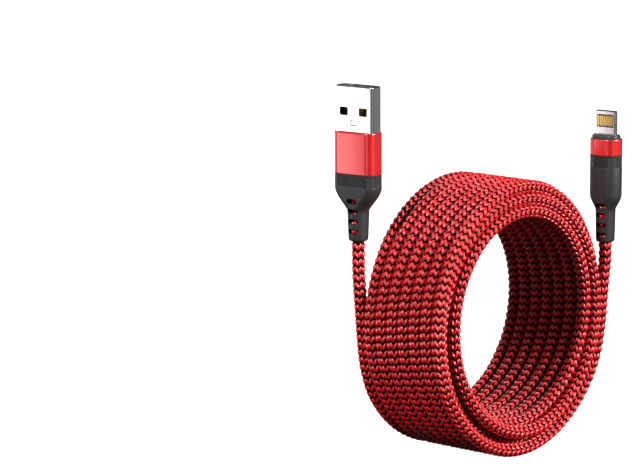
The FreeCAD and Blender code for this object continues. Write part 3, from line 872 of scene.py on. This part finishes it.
def dress(material, *names):
    for name in names:
        node = nodes[name]
        node.data.materials.clear()
        node.data.materials.append(material)
        split = node.modifiers.new("split", "EDGE_SPLIT")
        split.split_angle = SHARP_ANGLE


def red_metal():
    """Anodised metal under a clear coat."""
    stretch = (1, 1, 0.05)
    material = textured("red_metal", 0.34, metallic=0.6, grain=3000.0, stretch=stretch, bump=0.05)
    shader = material.node_tree.nodes["Principled BSDF"]
    shader.inputs["Coat Weight"].default_value = 1.0
    shader.inputs["Coat Roughness"].default_value = 0.25
    shader.inputs["Coat IOR"].default_value = 1.8
    return material


def make_plugs():
    boot = textured("boot", 0.42, grain=5000.0, bump=0.2, shine=0.45)
    # Painted shade in the knurl's pits
    paint_pit_shade(boot)
    red = red_metal()
    steel = textured("steel", 0.16, metallic=1.0, grain=2500.0, stretch=(1, 1, 0.04), bump=0.03)
    dark = textured("dark_plastic", 0.4, grain=3000.0)
    for name, size, foot in (("usb_boot", USB_BOOT, USB_FOOT), ("phone_boot", PHONE_BOOT, PHONE_FOOT)):
        skin = loft(boot_rings(size))
        add_piece(name + "_skin", skin, foot, boot, name, slot_cutters(size), size)
    sleeve = loft(sleeve_rings(USB_SLEEVE, USB_SLEEVE_WALL), closed=True)
    add_piece("usb_sleeve_skin", sleeve, USB_FOOT, red, "usb_sleeve")
    band = loft(sleeve_rings(PHONE_RING, PHONE_RING_WALL), closed=True)
    add_piece("phone_ring_skin", band, PHONE_FOOT, red, "phone_ring")
    bezel = loft(bezel_rings(PHONE_BEZEL, BEZEL_HOLE))
    add_piece("phone_bezel_skin", bezel, PHONE_FOOT, dark, "phone_front_bezel")
    shell = loft(shell_rings(USB_SHELL), closed=True)
    add_piece("usb_shell_skin", shell, USB_FOOT, steel, "usb_shell", shell_cutters())


def dress_nodes():
    steel = textured("tongue_steel", 0.22, metallic=1.0, grain=3000.0, stretch=(1, 1, 0.1), bump=0.05)
    dress(steel, "phone_blade_frame", "phone_shield_can", "usb_crimp_collar")
    dress(textured("carrier", 0.45), "usb_contact_carrier")
    dress(textured("insulator", 0.4), "phone_blade_insulator")
    dress(textured("mould", 0.6), "usb_inner_mould", "phone_inner_mould")
    gold = textured("gold", 0.22, metallic=1.0, grain=4000.0)
    dress(gold, "usb_contact_power", "usb_contact_data_minus")
    dress(gold, "usb_contact_data_plus", "usb_contact_ground")
    dress(gold, "phone_contacts_front", "phone_contacts_back")
    dress(textured("board", 0.4), "phone_circuit_board")
    dress(textured("chip", 0.5), "phone_chip")
    dress(textured("capacitor", 0.4), "phone_capacitors")
    dress(textured("solder", 0.3, metallic=1.0), "usb_solder_joints", "phone_solder_joints")
    dress(textured("jacket", 0.5), "usb_stripped_jacket", "phone_stripped_jacket")
    for color, tone in WIRE_COLORS.items():
        colors = (tuple(WIRE_SHADE * part for part in tone), tone)
        dress(textured("wire_" + color, 0.4, colors=colors), "usb_wire_" + color, "phone_wire_" + color)


def add_area(name, place, aim, size, energy):
    light = bpy.data.lights.new(name, "AREA")
    light.shape = "RECTANGLE"
    light.size, light.size_y = size
    light.energy = energy
    lamp = link(name, light)
    turn = (aim - place).to_track_quat("-Z", "Y").to_matrix().to_4x4()
    lamp.matrix_world = Matrix.Translation(place) @ turn


def add_sun(name, way, strength, width):
    """Even light that comes from a direction."""
    light = bpy.data.lights.new(name, "SUN")
    light.energy = strength
    light.angle = math.radians(width)
    lamp = link(name, light)
    lamp.rotation_euler = way.to_track_quat("Z", "Y").to_euler()


def seen_from(left, up, near):
    """A direction given by how far it points left, up and towards the camera."""
    azimuth = math.radians(CAMERA_SPOT[0])
    right = Vector((math.cos(azimuth), math.sin(azimuth), 0))
    back = Vector((math.sin(azimuth), -math.cos(azimuth), 0))
    return (-left * right + near * back + Vector((0, 0, up))).normalized()


def add_panel(name, azimuth, distance, spread, radiance):
    """An upright glowing panel that stands low round the object, outside the picture."""
    way = Vector((math.sin(math.radians(azimuth)), -math.cos(math.radians(azimuth)), 0))
    power = radiance * math.pi * spread * PANEL_HEIGHT
    up = Vector((0, 0, PANEL_LOW + PANEL_HEIGHT / 2))
    add_area(name, way * distance + up, up, (spread, PANEL_HEIGHT), power)


def make_floor():
    """A glowing white floor that the camera sees and that throws no light on the object."""
    material, _, shader = new_material("white_sheet", Roughness=0.95, Emission_Strength=1.0)
    shader.inputs["Base Color"].default_value = (*FLOOR_GREY, 1)
    shader.inputs["Emission Color"].default_value = WHITE
    shader.inputs["Specular IOR Level"].default_value = 0.0
    corners = [(x * FLOOR_REACH, y * FLOOR_REACH, 0) for x, y in ((-1, -1), (1, -1), (1, 1), (-1, 1))]
    mesh = bpy.data.meshes.new("floor")
    mesh.from_pydata(corners, [], [(0, 1, 2, 3)])
    mesh.materials.append(material)
    floor = link("floor", mesh)
    floor.visible_diffuse = False
    floor.visible_glossy = False


def make_world():
    """Faint light from all round, and white behind the object."""
    world = bpy.data.worlds.new("world")
    world.use_nodes = True
    background = world.node_tree.nodes["Background"]
    background.inputs["Color"].default_value = WHITE
    seen = world.node_tree.nodes.new("ShaderNodeLightPath")
    glow = world.node_tree.nodes.new("ShaderNodeMapRange")
    glow.inputs["To Min"].default_value = WORLD_GLOW
    glow.inputs["To Max"].default_value = 1.0
    world.node_tree.links.new(seen.outputs["Is Camera Ray"], glow.inputs["Value"])
    world.node_tree.links.new(glow.outputs["Result"], background.inputs["Strength"])
    bpy.context.scene.world = world


def make_studio():
    make_floor()
    make_world()
    for name, sun in SUNS.items():
        way = seen_from(sun["left"], sun["up"], sun["near"])
        add_sun(name, way, sun["strength"], sun["width"])
    for name, panel in PANELS.items():
        add_panel(name, **panel)
    bpy.context.scene.view_settings.view_transform = "Standard"


def turned(first, second, angle):
    """Two axes turned by an angle, the first towards the second."""
    cosine, sine = math.cos(angle), math.sin(angle)
    return cosine * first + sine * second, cosine * second - sine * first


def make_camera():
    azimuth, elevation, distance = CAMERA_SPOT
    azimuth, elevation = math.radians(azimuth), math.radians(elevation)
    back = Vector((
        math.sin(azimuth) * math.cos(elevation),
        -math.cos(azimuth) * math.cos(elevation),
        math.sin(elevation),
    ))
    right = Vector((math.cos(azimuth), math.sin(azimuth), 0))
    up = back.cross(right)
    yaw, pitch = CAMERA_AIM
    right, up = turned(right, up, math.radians(CAMERA_ROLL))
    right, behind = turned(right, back, yaw)
    up, behind = turned(up, behind, pitch)
    camera = bpy.data.cameras.new("camera")
    camera.sensor_width = CAMERA_SENSOR
    camera.lens = CAMERA_FOCAL * camera.sensor_width / PICTURE[0]
    camera.clip_start = CAMERA_NEAR
    camera.clip_end = CAMERA_FAR
    eye = link("camera", camera)
    place = raised(back * distance * MM, CENTRE_HEIGHT)
    axes = Matrix((right, up, behind)).transposed().to_4x4()
    eye.matrix_world = Matrix.Translation(place) @ axes
    bpy.context.scene.camera = eye


make_plugs()
dress_nodes()
make_cord()
make_studio()
make_camera()
